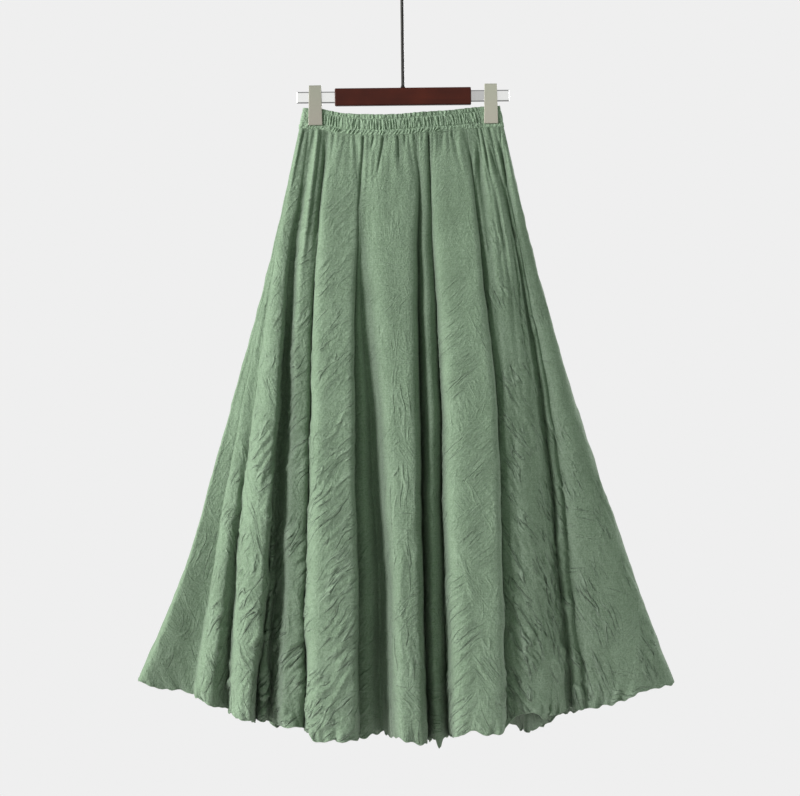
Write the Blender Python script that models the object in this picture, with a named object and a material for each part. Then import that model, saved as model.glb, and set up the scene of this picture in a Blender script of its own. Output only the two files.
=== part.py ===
# Maxi skirt hung flat by its elastic waist on a two-clip hanger.
# Metres, +Z up. The front faces -Y and +X is the right-hand side as seen from the front.
# Origin: the highest point inside the hook, where it rests on a rail.
import math
from collections import namedtuple

import bmesh
import bpy
import numpy as np
from mathutils import Matrix

MM = 0.001

# --- driving sizes -----------------------------------------------------------------------------
# Heights of the stations at which the folds are stated, below the hook's resting point.
WAIST_Z = -0.270
HIP_Z = -0.417
KNEE_Z = -0.673
CALF_Z = -0.915
HEM_Z = -1.072

CLOTH_THICK = 0.0015  # wall of the front and back panels
SEAM_GAP = 0.0003  # left between pieces that are sewn or pressed together
HANG_TILT = math.radians(0.6)  # the hanger and the waist hang a little higher at +X

WAIST_TOP_Z = -0.2274  # top edge of the waistband at its ends, before tilt and sag
BAND_HEIGHT = 0.0298
BAND_HALF_TOP = 0.1395  # half width of the band's top edge
BAND_HALF_BOTTOM = 0.1455
BAND_CLIPPED_DEPTH = 0.0022  # half depth of the band where a clip presses it flat
BAND_OPEN_DEPTH = 0.0120  # half depth of the band midway between the clips
BAND_FLAT_FROM = 0.80  # share of the half width past which the band is pressed flat
BAND_ROUND_FROM = 0.975  # share of the half width past which the band turns round its end
PUCKERS = 84  # elastic puckers round the whole band
PUCKER_AT_CLIP = 0.3  # share of the pucker depth left where the band is pressed flat

GATHER_PITCH = 0.0115  # gathers sewn into the band's lower seam
GATHER_DEPTH = 0.0013
GATHER_FADE = 0.040  # drop over which a gather dies away
HEM_WAVE = 0.0030  # flutter of the rolled hem
HEM_WAVE_COLUMNS = 3  # columns to each hem wave
HEM_WAVE_FROM = 0.90  # share of the panel's drop where the flutter begins
EDGE_COLUMNS = 4  # columns beside a side seam over which gathers and flutter fade out
LAID_FLAT = CLOTH_THICK / 2 + SEAM_GAP  # least reach of a panel, where it lies on the other one

ROD_RADIUS = 0.0023
HOOK_INNER_RADIUS = 0.022
HOOK_TIP_ANGLE = math.radians(205)  # where the hook ends, measured from +X round its centre
HOOK_FOOT_ANGLE = math.radians(-60)  # where the hook's round meets the bend above the shaft
BAR_LENGTH = 0.194
BAR_HEIGHT = 0.0248
BAR_THICK = 0.016
BAR_ROUND = 0.0025
BAR_CENTRE_Z = -0.2128
SOCKET_DEPTH = 0.0040  # how far the rod goes into the bar
RAIL_LENGTH = 0.303
RAIL_HEIGHT = 0.0164
RAIL_THICK = 0.0050
CLIP_X = 0.125  # clip centres either side of the shaft
CLIP_TOP_Z = -0.1953
CLIP_WIDTH_TOP = 0.0175
CLIP_WIDTH_BOTTOM = 0.0198

SHARP_ANGLE = math.radians(40)  # edges sharper than this are shaded as edges

# Share of a panel's drop at which its rings of points lie, closer together at the gathers.
LEVELS = (0, 0.015, 0.045, 0.09, 0.15, 0.24, 0.34, 0.45, 0.56, 0.67, 0.78, 0.88, 0.95, 1)

# Sag of the waist between the clips: place across (m), drop (m).
WAIST_SAG = (
    (-0.142, 0.0),
    (-0.116, 0.0015),
    (-0.090, 0.0070),
    (-0.050, 0.0105),
    (-0.010, 0.0110),
    (0.030, 0.0080),
    (0.070, 0.0055),
    (0.115, 0.0010),
    (0.142, 0.0),
)

# Section of the waistband: drop below its top edge, reach out from its middle line, pucker depth.
BAND_OUTSIDE = (
    (0.0000, 0.0009, 0.0005),
    (0.0035, 0.0010, 0.0009),
    (0.0070, 0.0007, 0.0004),
    (0.0125, 0.0013, 0.0009),
    (0.0190, 0.0008, 0.0004),
    (0.0245, 0.0011, 0.0008),
    (0.0298, 0.0009, 0.0005),
)
BAND_INSIDE = (
    (0.0298, -0.0009, 0.0),
    (0.0125, -0.0010, 0.0),
    (0.0000, -0.0009, 0.0),
)

# Clip's side view: drop below its top, half gap inside, half thickness outside.
CLIP_SECTION = (
    (0.0022, 0.0028, 0.0040),
    (0.0270, 0.0028, 0.0048),
    (0.0330, 0.0041, 0.0062),
    (0.0560, 0.0041, 0.0060),
    (0.0570, 0.0043, 0.0055),
)

# Each row is one line running down the cloth, from one side seam to the other: a crest or a
# valley between two crests. Columns: place across at the waist, hip, knee, calf and hem (mm),
# reach out from the skirt's middle plane at the hip, knee and hem (mm), how narrow the valley
# is (0 wide, 0.3 sharp; crests have none), and the columns of points before the next line.
Fold = namedtuple("Fold", "name waist hip knee calf hem out_hip out_knee out_hem sharp steps")

FRONT_FOLDS = (
    Fold("side_left", -147, -179, -247, -319, -388, 0, 0, 0, 0, 4),
    Fold("rim_crest", -143, -167, -229, -264, -283, 14, 38, 56, 0, 3),
    Fold("split_valley", -140, -162, -218, -239, -248, 13, 33, 33, 0.15, 4),
    Fold("lit_crest", -136, -156, -199, -215, -227, 18, 58, 84, 0, 4),
    Fold("wide_valley", -128, -148, -173, -185, -198, 7, 16, 24, 0.02, 4),
    Fold("narrow_crest", -119, -130, -146, -152, -157, 20, 48, 70, 0, 5),
    Fold("left_line", -100, -123, -130, -134, -145, 10, 24, 36, 0.22, 5),
    Fold("broad_left", -80, -93, -97, -94, -96, 30, 72, 106, 0, 5),
    Fold("left_ledge", -58, -64, -69, -63, -63, 11, 34, 48, 0.10, 3),
    Fold("inner_fold", -55, -61, -58, -53, -52, 12, 36, 52, 0, 3),
    Fold("left_deep", -52, -59, -49, -39, -37, 11, 22, 32, 0.12, 6),
    Fold("centre_crest", -14, -18, -10, -2, 2, 31, 72, 106, 0, 6),
    Fold("dark_valley", 26, 23, 29, 33, 36, 11, 22, 32, 0.12, 3),
    Fold("shaded_crest", 33, 35, 44, 47, 49, 18, 42, 62, 0, 4),
    Fold("right_line", 39, 44, 55, 59, 67, 10, 24, 38, 0.22, 6),
    Fold("broad_right", 70, 82, 98, 105, 110, 30, 76, 112, 0, 5),
    Fold("right_turn", 96, 114, 139, 145, 146, 15, 34, 48, 0.18, 4),
    Fold("slope_crest", 113, 131, 161, 184, 196, 19, 50, 78, 0, 5),
    Fold("slope_line", 138, 160, 205, 221, 240, 10, 24, 34, 0.25, 4),
    Fold("flat_crest", 142, 168, 224, 262, 296, 14, 34, 50, 0, 5),
    Fold("side_right", 148, 182, 255, 338, 397, 0, 0, 0, 0, 0),
)

BACK_FOLDS = (
    Fold("side_left", -147, -179, -247, -319, -388, 0, 0, 0, 0, 4),
    Fold("left_rim", -142, -168, -224, -272, -312, 13, 34, 50, 0, 4),
    Fold("left_groove", -134, -158, -204, -236, -262, 9, 18, 26, 0.12, 4),
    Fold("left_crest", -122, -143, -179, -203, -222, 22, 56, 82, 0, 5),
    Fold("left_line", -104, -124, -150, -166, -178, 10, 22, 32, 0.20, 5),
    Fold("left_tube", -86, -101, -121, -132, -140, 29, 70, 102, 0, 5),
    Fold("left_valley", -66, -76, -88, -94, -98, 12, 24, 36, 0.08, 5),
    Fold("mid_left_tube", -46, -53, -60, -62, -62, 30, 74, 110, 0, 5),
    Fold("mid_line", -24, -27, -28, -27, -24, 11, 24, 36, 0.22, 3),
    Fold("mid_small", -16, -17, -14, -10, -6, 20, 44, 66, 0, 4),
    Fold("mid_valley", -6, -5, 2, 8, 14, 11, 22, 32, 0.15, 6),
    Fold("mid_right_tube", 20, 24, 37, 47, 54, 31, 74, 108, 0, 6),
    Fold("right_valley", 48, 56, 74, 88, 96, 12, 26, 38, 0.05, 5),
    Fold("right_tube", 70, 82, 108, 126, 137, 28, 68, 100, 0, 5),
    Fold("right_line", 92, 107, 140, 162, 176, 10, 24, 34, 0.22, 4),
    Fold("right_crest", 108, 128, 168, 196, 215, 22, 56, 84, 0, 5),
    Fold("right_groove", 126, 151, 202, 238, 262, 9, 18, 26, 0.12, 5),
    Fold("right_rim", 139, 167, 228, 283, 324, 13, 34, 50, 0, 5),
    Fold("side_right", 148, 182, 255, 338, 397, 0, 0, 0, 0, 0),
)

# Lower edge of each panel: place across (mm), height (mm).
FRONT_HEM = (
    (-376, -1039),
    (-340, -1052),
    (-307, -1056),
    (-272, -1071),
    (-238, -1086),
    (-197, -1097),
    (-154, -1103),
    (-140, -1104),
    (-121, -1116),
    (-78, -1118),
    (-36, -1115),
    (-2, -1115),
    (38, -1125),
    (62, -1118),
    (98, -1104),
    (141, -1106),
    (157, -1087),
    (200, -1087),
    (223, -1082),
    (243, -1080),
    (268, -1078),
    (303, -1068),
    (337, -1056),
    (386, -1046),
)
BACK_HEM = (
    (-376, -1039),
    (-330, -1050),
    (-270, -1070),
    (-218, -1095),
    (-187, -1111),
    (-163, -1116),
    (-140, -1113),
    (-100, -1115),
    (-50, -1113),
    (0, -1119),
    (50, -1116),
    (100, -1113),
    (145, -1112),
    (205, -1117),
    (222, -1105),
    (245, -1095),
    (300, -1069),
    (350, -1055),
    (386, -1046),
)

# Colours (linear RGB), roughness, metallic.
CLOTH_LOOK = ((0.20, 0.28, 0.19), 0.9, 0.0)
WOOD_LOOK = ((0.075, 0.021, 0.015), 0.45, 0.0)
CHROME_LOOK = ((0.80, 0.80, 0.80), 0.12, 1.0)
ROD_LOOK = ((0.055, 0.045, 0.045), 0.35, 1.0)
CLIP_LOOK = ((0.39, 0.35, 0.30), 0.5, 0.0)


def clear_scene():
    for thing in list(bpy.data.objects):
        bpy.data.objects.remove(thing, do_unlink=True)


def material(name, look):
    colour, roughness, metallic = look
    made = bpy.data.materials.new(name)
    made.use_nodes = True
    shader = made.node_tree.nodes["Principled BSDF"]
    shader.inputs["Base Color"].default_value = (*colour, 1)
    shader.inputs["Roughness"].default_value = roughness
    shader.inputs["Metallic"].default_value = metallic
    return made


def solid(name, points, faces, look_material, turn=0.0):
    """One closed body from its points and faces, turned about the hook's resting point."""
    mesh = bpy.data.meshes.new(name)
    mesh.from_pydata([tuple(point) for point in points], [], [tuple(face) for face in faces])
    build = bmesh.new()
    build.from_mesh(mesh)
    bmesh.ops.recalc_face_normals(build, faces=build.faces)
    build.to_mesh(mesh)
    build.free()
    mesh.transform(Matrix.Rotation(-turn, 4, "Y"))
    mesh.shade_smooth()
    mesh.set_sharp_from_angle(angle=SHARP_ANGLE)
    mesh.materials.append(look_material)
    made = bpy.data.objects.new(name, mesh)
    bpy.context.collection.objects.link(made)
    return made


def smooth_read(places, values, at):
    """Smooth curve through (place, value) pairs, straight past both ends."""
    places = np.asarray(places, float)
    values = np.asarray(values, float)
    slopes = np.gradient(values, places)
    inside = np.clip(at, places[0], places[-1])
    first = np.clip(np.searchsorted(places, inside, side="right") - 1, 0, len(places) - 2)
    span = places[first + 1] - places[first]
    share = (inside - places[first]) / span
    rise = share * share * (3 - 2 * share)
    start_pull = share * (1 - share) ** 2
    end_pull = share * share * (share - 1)
    value = values[first] * (1 - rise) + values[first + 1] * rise
    value = value + span * (start_pull * slopes[first] + end_pull * slopes[first + 1])
    end_slope = np.where(at < inside, slopes[0], slopes[-1])
    return value + end_slope * (at - inside)


def waist_line(across):
    """Height of the waistband's top edge."""
    places, drops = zip(*WAIST_SAG)
    inside = np.clip(across, places[0], places[-1])
    return WAIST_TOP_Z + math.tan(HANG_TILT) * across - smooth_read(places, drops, inside)


def waist_depth(across):
    """Half depth of the waist: open midway between the clips, pressed flat beside them."""
    share = np.clip(np.abs(across) / (BAND_HALF_BOTTOM * BAND_FLAT_FROM), 0, 1)
    return BAND_CLIPPED_DEPTH + (BAND_OPEN_DEPTH - BAND_CLIPPED_DEPTH) * (1 - share**2) ** 1.5


def column_plan(folds):
    """For each column of points, the fold line before it and its share of the way to the next."""
    before = []
    share = []
    for index, fold in enumerate(folds[:-1]):
        for step in range(fold.steps):
            before.append(index)
            share.append(step / fold.steps)
    before.append(len(folds) - 2)
    share.append(1.0)
    return np.array(before), np.array(share)


def fold_section(folds, before, share, height):
    """Place across and reach out of every column at the given heights (levels by columns).

    From a crest to a valley the reach falls as half a cosine wave. The place across runs ahead
    of it by a sine, which broadens the crest and narrows the valley. Beside a side seam the
    section is a quarter of an ellipse, so that the cloth turns round to the other panel.
    """
    drop = -height
    drop_below_waist = np.maximum(drop, -WAIST_Z)
    across_at = -np.array((WAIST_Z, HIP_Z, KNEE_Z, CALF_Z, HEM_Z))
    reach_at = -np.array((WAIST_Z, HIP_Z, KNEE_Z, HEM_Z))
    across = []
    reach = []
    for index, fold in enumerate(folds):
        places = np.array((fold.waist, fold.hip, fold.knee, fold.calf, fold.hem)) * MM
        at_waist = 0.0 if index in (0, len(folds) - 1) else waist_depth(places[0])
        reaches = np.array((at_waist, fold.out_hip * MM, fold.out_knee * MM, fold.out_hem * MM))
        across.append(smooth_read(across_at, places, drop))
        reach.append(smooth_read(reach_at, reaches, drop_below_waist))
    across = np.array(across)
    reach = np.array(reach)
    column = np.arange(len(before))
    across_from = across[before, :, column].T
    across_to = across[before + 1, :, column].T
    reach_from = reach[before, :, column].T
    reach_to = reach[before + 1, :, column].T

    narrow = np.array([fold.sharp for fold in folds])
    falling = reach_to < reach_from
    sharp = np.where(falling, narrow[before + 1], narrow[before])
    lead = np.where(falling, 1, -1) * sharp * np.sin(math.pi * share)
    place_share = share + lead
    reach_share = np.broadcast_to((1 - np.cos(math.pi * share)) / 2, place_share.shape)
    quarter = math.pi / 2 * share
    at_left = before == 0
    at_right = before == len(folds) - 2
    place_share = np.where(at_left, 1 - np.cos(quarter), place_share)
    reach_share = np.where(at_left, np.sin(quarter), reach_share)
    place_share = np.where(at_right, np.sin(quarter), place_share)
    reach_share = np.where(at_right, 1 - np.cos(quarter), reach_share)
    return (
        across_from + (across_to - across_from) * place_share,
        reach_from + (reach_to - reach_from) * reach_share,
    )


def panel_surface(folds, hem, side):
    """Middle surface of a panel, levels by columns by xyz; side is -1 in front, +1 behind."""
    before, share = column_plan(folds)
    count = len(before)
    level = np.array(LEVELS)[:, None]
    flat = np.full((1, count), WAIST_Z)
    waist_across = fold_section(folds, before, share, flat)[0]
    top = waist_line(waist_across) - BAND_HEIGHT - SEAM_GAP
    hem_places, hem_heights = np.array(hem).T * MM
    bottom = np.full((1, count), HEM_Z)
    for _ in range(3):
        bottom_across = fold_section(folds, before, share, bottom)[0]
        bottom = smooth_read(hem_places, hem_heights, bottom_across)
    height = top + level * (bottom - top)
    across, reach = fold_section(folds, before, share, height)

    column = np.arange(count)
    from_edge = np.minimum(column, count - 1 - column)
    fade = np.clip(from_edge / EDGE_COLUMNS, 0, 1)
    gather = fade**2 * GATHER_DEPTH * np.sin(2 * math.pi * waist_across / GATHER_PITCH)
    reach = reach + gather * np.exp((height - top) / GATHER_FADE)
    flutter = np.clip((level - HEM_WAVE_FROM) / (1 - HEM_WAVE_FROM), 0, 1)
    reach = reach + fade * HEM_WAVE * flutter * np.sin(2 * math.pi * column / HEM_WAVE_COLUMNS)
    reach = np.maximum(reach, fade * LAID_FLAT)
    return np.stack((across, side * (reach + SEAM_GAP / 2), height), axis=2)


def outward(surface, side):
    """Unit normals of a panel's middle surface, level at its top and square to its side seams."""
    down = np.gradient(surface, axis=0)
    along = np.gradient(surface, axis=1)
    normal = np.cross(along, down) * -side
    normal[0, :, 2] = 0
    normal[:, 0, 1] = 0
    normal[:, -1, 1] = 0
    return normal / np.linalg.norm(normal, axis=2, keepdims=True)


def cloth_panel(name, folds, hem, side, look_material):
    """Panel of cloth: its middle surface moved out and in by half the cloth's thickness."""
    middle = panel_surface(folds, hem, side)
    normal = outward(middle, side)
    if normal[:, :, 1].mean() * side < 0:
        normal = -normal
    outer = middle + normal * CLOTH_THICK / 2
    inner = middle - normal * CLOTH_THICK / 2
    levels, columns = middle.shape[:2]
    points = np.concatenate((outer.reshape(-1, 3), inner.reshape(-1, 3)))
    index = np.arange(levels * columns).reshape(levels, columns)
    behind = index + levels * columns
    outer_faces = quads(index)
    inner_faces = quads(behind[:, ::-1])
    rim = np.concatenate((index[0], index[1:, -1], index[-1, -2::-1], index[-2:0:-1, 0]))
    rim_faces = np.stack((rim, np.roll(rim, -1), np.roll(rim, -1) + index.size, rim + index.size), 1)
    return solid(name, points, np.concatenate((outer_faces, inner_faces, rim_faces)), look_material)


def quads(index):
    """Four-sided faces between neighbouring points of a grid of point numbers."""
    corners = (index[:-1, :-1], index[1:, :-1], index[1:, 1:], index[:-1, 1:])
    return np.stack([corner.ravel() for corner in corners], axis=1)


def ring_quads(rings, around):
    """Four-sided faces of a tube whose sections and whose length both close on themselves."""
    index = np.arange(rings * around).reshape(rings, around)
    next_ring = np.roll(index, -1, axis=0)
    corners = (index, np.roll(index, -1, axis=1), np.roll(next_ring, -1, axis=1), next_ring)
    return np.stack([corner.ravel() for corner in corners], axis=1)


def waistband(look_material):
    """Elastic waistband: a ring of cloth, puckered, that follows the waist's half depth."""
    turn = np.linspace(0, 2 * math.pi, 4001)
    share = np.cos(turn)
    past = np.clip((np.abs(share) - BAND_ROUND_FROM) / (1 - BAND_ROUND_FROM), 0, 1)
    depth = waist_depth(share * BAND_HALF_BOTTOM) * np.sqrt(1 - past**2) * -np.sign(np.sin(turn))
    travel = np.hypot(np.diff(share * BAND_HALF_BOTTOM), np.diff(depth))
    travelled = np.concatenate(([0], np.cumsum(travel)))
    count = 2 * PUCKERS
    at = np.arange(count) * travelled[-1] / count
    share = np.interp(at, travelled, share)
    depth = np.interp(at, travelled, depth)

    # The way out of the ring, square to its line, with x stretched to the band's real width.
    line = np.stack((share * BAND_HALF_BOTTOM, depth), axis=1)
    step = np.roll(line, -1, axis=0) - np.roll(line, 1, axis=0)
    way = np.stack((-step[:, 1], step[:, 0]), axis=1)
    way = way / np.linalg.norm(way, axis=1, keepdims=True)

    number = np.arange(count)
    unevenness = 0.7 + 0.3 * np.sin(1.7 * number)
    pressed = np.clip((np.abs(share) - BAND_FLAT_FROM + 0.06) / 0.06, 0, 1)
    pucker = np.cos(math.pi * number) * unevenness * (1 - pressed * (1 - PUCKER_AT_CLIP))
    rings = []
    for drop, reach, pucker_depth in BAND_OUTSIDE + BAND_INSIDE:
        half = BAND_HALF_TOP + (BAND_HALF_BOTTOM - BAND_HALF_TOP) * drop / BAND_HEIGHT
        push = reach + pucker_depth * pucker
        across = share * half + way[:, 0] * push
        rings.append(np.stack((across, depth + way[:, 1] * push, waist_line(across) - drop), axis=1))
    points = np.stack(rings, axis=1).reshape(-1, 3)
    return solid("waistband", points, ring_quads(count, len(rings)), look_material)


def rod_path():
    """Middle line and radius of the hook's rod, from its foot in the bar up to its tip."""
    bend = HOOK_INNER_RADIUS + ROD_RADIUS
    centre_z = -HOOK_INNER_RADIUS
    rise = -math.sin(HOOK_FOOT_ANGLE) * bend
    shaft_top = centre_z - 2 * rise
    bar_top = BAR_CENTRE_Z + BAR_HEIGHT / 2
    foot = bar_top - SOCKET_DEPTH + SEAM_GAP
    path = [
        (0, foot, ROD_RADIUS),
        (0, bar_top + SEAM_GAP, ROD_RADIUS),
        (0, bar_top + 2 * SEAM_GAP, ROD_RADIUS * 1.5),
        (0, bar_top + 0.002, ROD_RADIUS * 1.4),
        (0, bar_top + 0.004, ROD_RADIUS),
        (0, (bar_top + shaft_top) / 2, ROD_RADIUS),
    ]
    for angle in np.linspace(0, -HOOK_FOOT_ANGLE, 7):
        path.append((bend * (1 - math.cos(angle)), shaft_top + bend * math.sin(angle), ROD_RADIUS))
    for angle in np.linspace(HOOK_FOOT_ANGLE, HOOK_TIP_ANGLE, 25)[1:]:
        path.append((bend * math.cos(angle), centre_z + bend * math.sin(angle), ROD_RADIUS))
    return path, bend, centre_z


def hook(look_material):
    """Rod swept along its path: a straight shaft, a bend, the round of the hook and a ball tip."""
    path, bend, centre_z = rod_path()
    for past, swell in ((0.07, 1.3), (0.14, 1.35), (0.20, 0.9)):
        angle = HOOK_TIP_ANGLE + past
        place = (bend * math.cos(angle), centre_z + bend * math.sin(angle))
        path.append((*place, ROD_RADIUS * swell))
    line = np.array(path)
    middle = line[:, :2]
    run = np.gradient(middle, axis=0)
    run = run / np.linalg.norm(run, axis=1, keepdims=True)
    sides = 10
    angle = np.arange(sides) * 2 * math.pi / sides
    radius = line[:, 2][:, None]
    across = middle[:, 0][:, None] + radius * np.cos(angle) * -run[:, 1][:, None]
    height = middle[:, 1][:, None] + radius * np.cos(angle) * run[:, 0][:, None]
    depth = np.broadcast_to(radius * np.sin(angle), across.shape)
    points = np.stack((across, depth, height), axis=2).reshape(-1, 3)
    index = np.arange(len(points)).reshape(len(line), sides)
    wrapped = np.concatenate((index, index[:, :1]), axis=1)
    faces = [tuple(face) for face in quads(wrapped)]
    faces.append(tuple(index[0]))
    faces.append(tuple(index[-1]))
    return solid("hanger_hook", points, faces, look_material, HANG_TILT)


def rounded_oblong(width, height, radius, corner_steps):
    """Points round an oblong with rounded corners."""
    points = []
    for turn in range(4):
        sign_x = (1, -1, -1, 1)[turn]
        sign_z = (1, 1, -1, -1)[turn]
        centre = (sign_x * (width / 2 - radius), sign_z * (height / 2 - radius))
        for step in range(corner_steps + 1):
            angle = math.pi / 2 * (turn + step / corner_steps)
            points.append((centre[0] + radius * math.cos(angle), centre[1] + radius * math.sin(angle)))
    return points


def rail(look_material):
    """Flat metal rail with round ends, through the bar and both clips."""
    outline = rounded_oblong(RAIL_LENGTH, RAIL_HEIGHT, RAIL_HEIGHT / 3, 4)
    count = len(outline)
    chamfer = 0.0010
    rings = ((-RAIL_THICK / 2, chamfer), (-RAIL_THICK / 2 + chamfer, 0), (RAIL_THICK / 2 - chamfer, 0),
             (RAIL_THICK / 2, chamfer))
    points = []
    for depth, inset in rings:
        for across, height in outline:
            shrink_x = 1 - 2 * inset / RAIL_LENGTH
            shrink_z = 1 - 2 * inset / RAIL_HEIGHT
            points.append((across * shrink_x, depth, BAR_CENTRE_Z + height * shrink_z))
    index = np.arange(len(points)).reshape(len(rings), count)
    wrapped = np.concatenate((index, index[:, :1]), axis=1)
    faces = [tuple(face) for face in quads(wrapped)]
    faces.append(tuple(index[0]))
    faces.append(tuple(index[-1]))
    return solid("hanger_rail", points, faces, look_material, HANG_TILT)


def block(name, size, centre):
    """Plain box, used to cut the bar."""
    mesh = bpy.data.meshes.new(name)
    build = bmesh.new()
    bmesh.ops.create_cube(build, size=1.0, matrix=Matrix.Translation(centre) @ Matrix.Diagonal((*size, 1)))
    build.to_mesh(mesh)
    build.free()
    made = bpy.data.objects.new(name, mesh)
    bpy.context.collection.objects.link(made)
    return made


def cut(body, cutter):
    """Takes the cutter's space out of the body and hides the cutter."""
    cutter.hide_render = True
    cutter.display_type = "WIRE"
    cutter.rotation_euler = (0, -HANG_TILT, 0)
    step = body.modifiers.new("cut_" + cutter.name, "BOOLEAN")
    step.operation = "DIFFERENCE"
    step.object = cutter


def bar(look_material):
    """Wooden bar with rounded edges, a slot for the rail and a socket for the hook's rod."""
    section = rounded_oblong(BAR_THICK, BAR_HEIGHT, BAR_ROUND, 4)
    count = len(section)
    ease = 0.0012
    rings = ((-BAR_LENGTH / 2, ease), (-BAR_LENGTH / 2 + ease, 0), (BAR_LENGTH / 2 - ease, 0),
             (BAR_LENGTH / 2, ease))
    points = []
    for across, inset in rings:
        for depth, height in section:
            shrink_y = 1 - 2 * inset / BAR_THICK
            shrink_z = 1 - 2 * inset / BAR_HEIGHT
            points.append((across, depth * shrink_y, BAR_CENTRE_Z + height * shrink_z))
    index = np.arange(len(points)).reshape(len(rings), count)
    wrapped = np.concatenate((index, index[:, :1]), axis=1)
    faces = [tuple(face) for face in quads(wrapped)]
    faces.append(tuple(index[0]))
    faces.append(tuple(index[-1]))
    made = solid("hanger_bar", points, faces, look_material, HANG_TILT)
    slot_size = (BAR_LENGTH * 1.1, RAIL_THICK + 2 * SEAM_GAP, RAIL_HEIGHT + 2 * SEAM_GAP)
    cut(made, block("rail_slot", slot_size, (0, 0, BAR_CENTRE_Z)))
    bar_top = BAR_CENTRE_Z + BAR_HEIGHT / 2
    socket = 2 * (ROD_RADIUS + SEAM_GAP)
    socket_size = (socket, socket, 2 * SOCKET_DEPTH)
    cut(made, block("rod_socket", socket_size, (0, 0, bar_top)))
    return made


def clip(name, centre_x, look_material):
    """Spring clip: a strip bent over the rail, whose two jaws press the waistband between them."""
    drop, gap, half = np.array(CLIP_SECTION).T
    outline = [(-half[-1], drop[-1])]
    for place in range(len(drop) - 2, -1, -1):
        outline.append((-half[place], drop[place]))
    outline.append((-half[0] * 0.7, 0))
    outline.append((half[0] * 0.7, 0))
    for place in range(len(drop)):
        outline.append((half[place], drop[place]))
    for place in range(len(drop) - 1, -1, -1):
        outline.append((gap[place], drop[place]))
    for place in range(len(drop)):
        outline.append((-gap[place], drop[place]))
    count = len(outline)
    points = []
    for end in (-1, 1):
        for depth, fall in outline:
            width = CLIP_WIDTH_TOP + (CLIP_WIDTH_BOTTOM - CLIP_WIDTH_TOP) * fall / drop[-1]
            points.append((centre_x + end * width / 2, depth, CLIP_TOP_Z - fall))
    ring = np.arange(count)
    after = np.roll(ring, -1)
    faces = [(a, b, b + count, a + count) for a, b in zip(ring.tolist(), after.tolist())]
    faces.append(tuple(ring.tolist()))
    faces.append(tuple((ring + count).tolist()))
    return solid(name, points, faces, look_material, HANG_TILT)


def main():
    clear_scene()
    cloth = material("crinkled_cloth", CLOTH_LOOK)
    wood = material("dark_wood", WOOD_LOOK)
    chrome = material("bright_chrome", CHROME_LOOK)
    rod = material("dark_rod", ROD_LOOK)
    plate = material("warm_grey_plate", CLIP_LOOK)
    cloth_panel("skirt_front", FRONT_FOLDS, FRONT_HEM, -1, cloth)
    cloth_panel("skirt_back", BACK_FOLDS, BACK_HEM, 1, cloth)
    waistband(cloth)
    bar(wood)
    rail(chrome)
    hook(rod)
    clip("clip_left", -CLIP_X, plate)
    clip("clip_right", CLIP_X, plate)


main()
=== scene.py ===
from collections import namedtuple
from math import cos, pi, radians, sin, tan

import bpy
import numpy as np
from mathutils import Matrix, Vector


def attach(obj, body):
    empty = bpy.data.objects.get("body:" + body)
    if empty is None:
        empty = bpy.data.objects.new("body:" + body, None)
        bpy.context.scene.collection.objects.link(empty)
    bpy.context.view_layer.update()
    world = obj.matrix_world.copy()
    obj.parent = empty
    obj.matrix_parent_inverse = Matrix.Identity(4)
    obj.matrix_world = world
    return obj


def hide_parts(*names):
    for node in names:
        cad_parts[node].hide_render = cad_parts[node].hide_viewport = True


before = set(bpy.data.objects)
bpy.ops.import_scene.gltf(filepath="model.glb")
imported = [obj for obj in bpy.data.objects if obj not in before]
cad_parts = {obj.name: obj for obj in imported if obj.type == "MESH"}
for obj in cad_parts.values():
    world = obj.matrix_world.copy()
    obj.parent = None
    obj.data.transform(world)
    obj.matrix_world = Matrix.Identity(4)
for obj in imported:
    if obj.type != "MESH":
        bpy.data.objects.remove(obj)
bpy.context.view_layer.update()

scene = bpy.context.scene
mm = 0.001

# What the whole skirt shares. Stations are drops below the hook's resting point; metres.
skirt = {
    "stations": np.array((0.27, 0.417, 0.673, 0.915, 1.072)),   # waist, hip, knee, calf, hem
    "clothThick": 0.0013, "seamGap": 0.0003,   # a panel's shown wall, the gap at its side seams
    "hangTilt": radians(0.6),
    "waistTopZ": -0.2274,   # top edge of the waistband at its ends
    "bandHeight": 0.0298, "bandHalfTop": 0.1395, "bandHalfBottom": 0.1455,
    "clippedDepth": 0.0022, "openDepth": 0.012,   # half depth under a clip, and between the two
    "flatFrom": 0.8, "roundFrom": 0.975,   # shares of the half width: pressed flat, turned round
    "tuckUp": 0.0025,       # how far a panel runs up inside the band
    "sideWave": 0.0022,     # unevenness of the two side seams
    "narrowOver": 0.08,    # valleys reach their narrowness this far below the waist
    "flatLeft": 0.6, "flatRight": 1.35,   # how much of a crest's flatness each of its sides takes
}
# Sag of the waist between the clips: place across (m), drop (m).
waistSag = ((-0.142, 0.0), (-0.116, 0.0015), (-0.09, 0.007), (-0.05, 0.0105), (-0.01, 0.011),
            (0.03, 0.008), (0.07, 0.0055), (0.115, 0.001), (0.142, 0.0))

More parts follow.
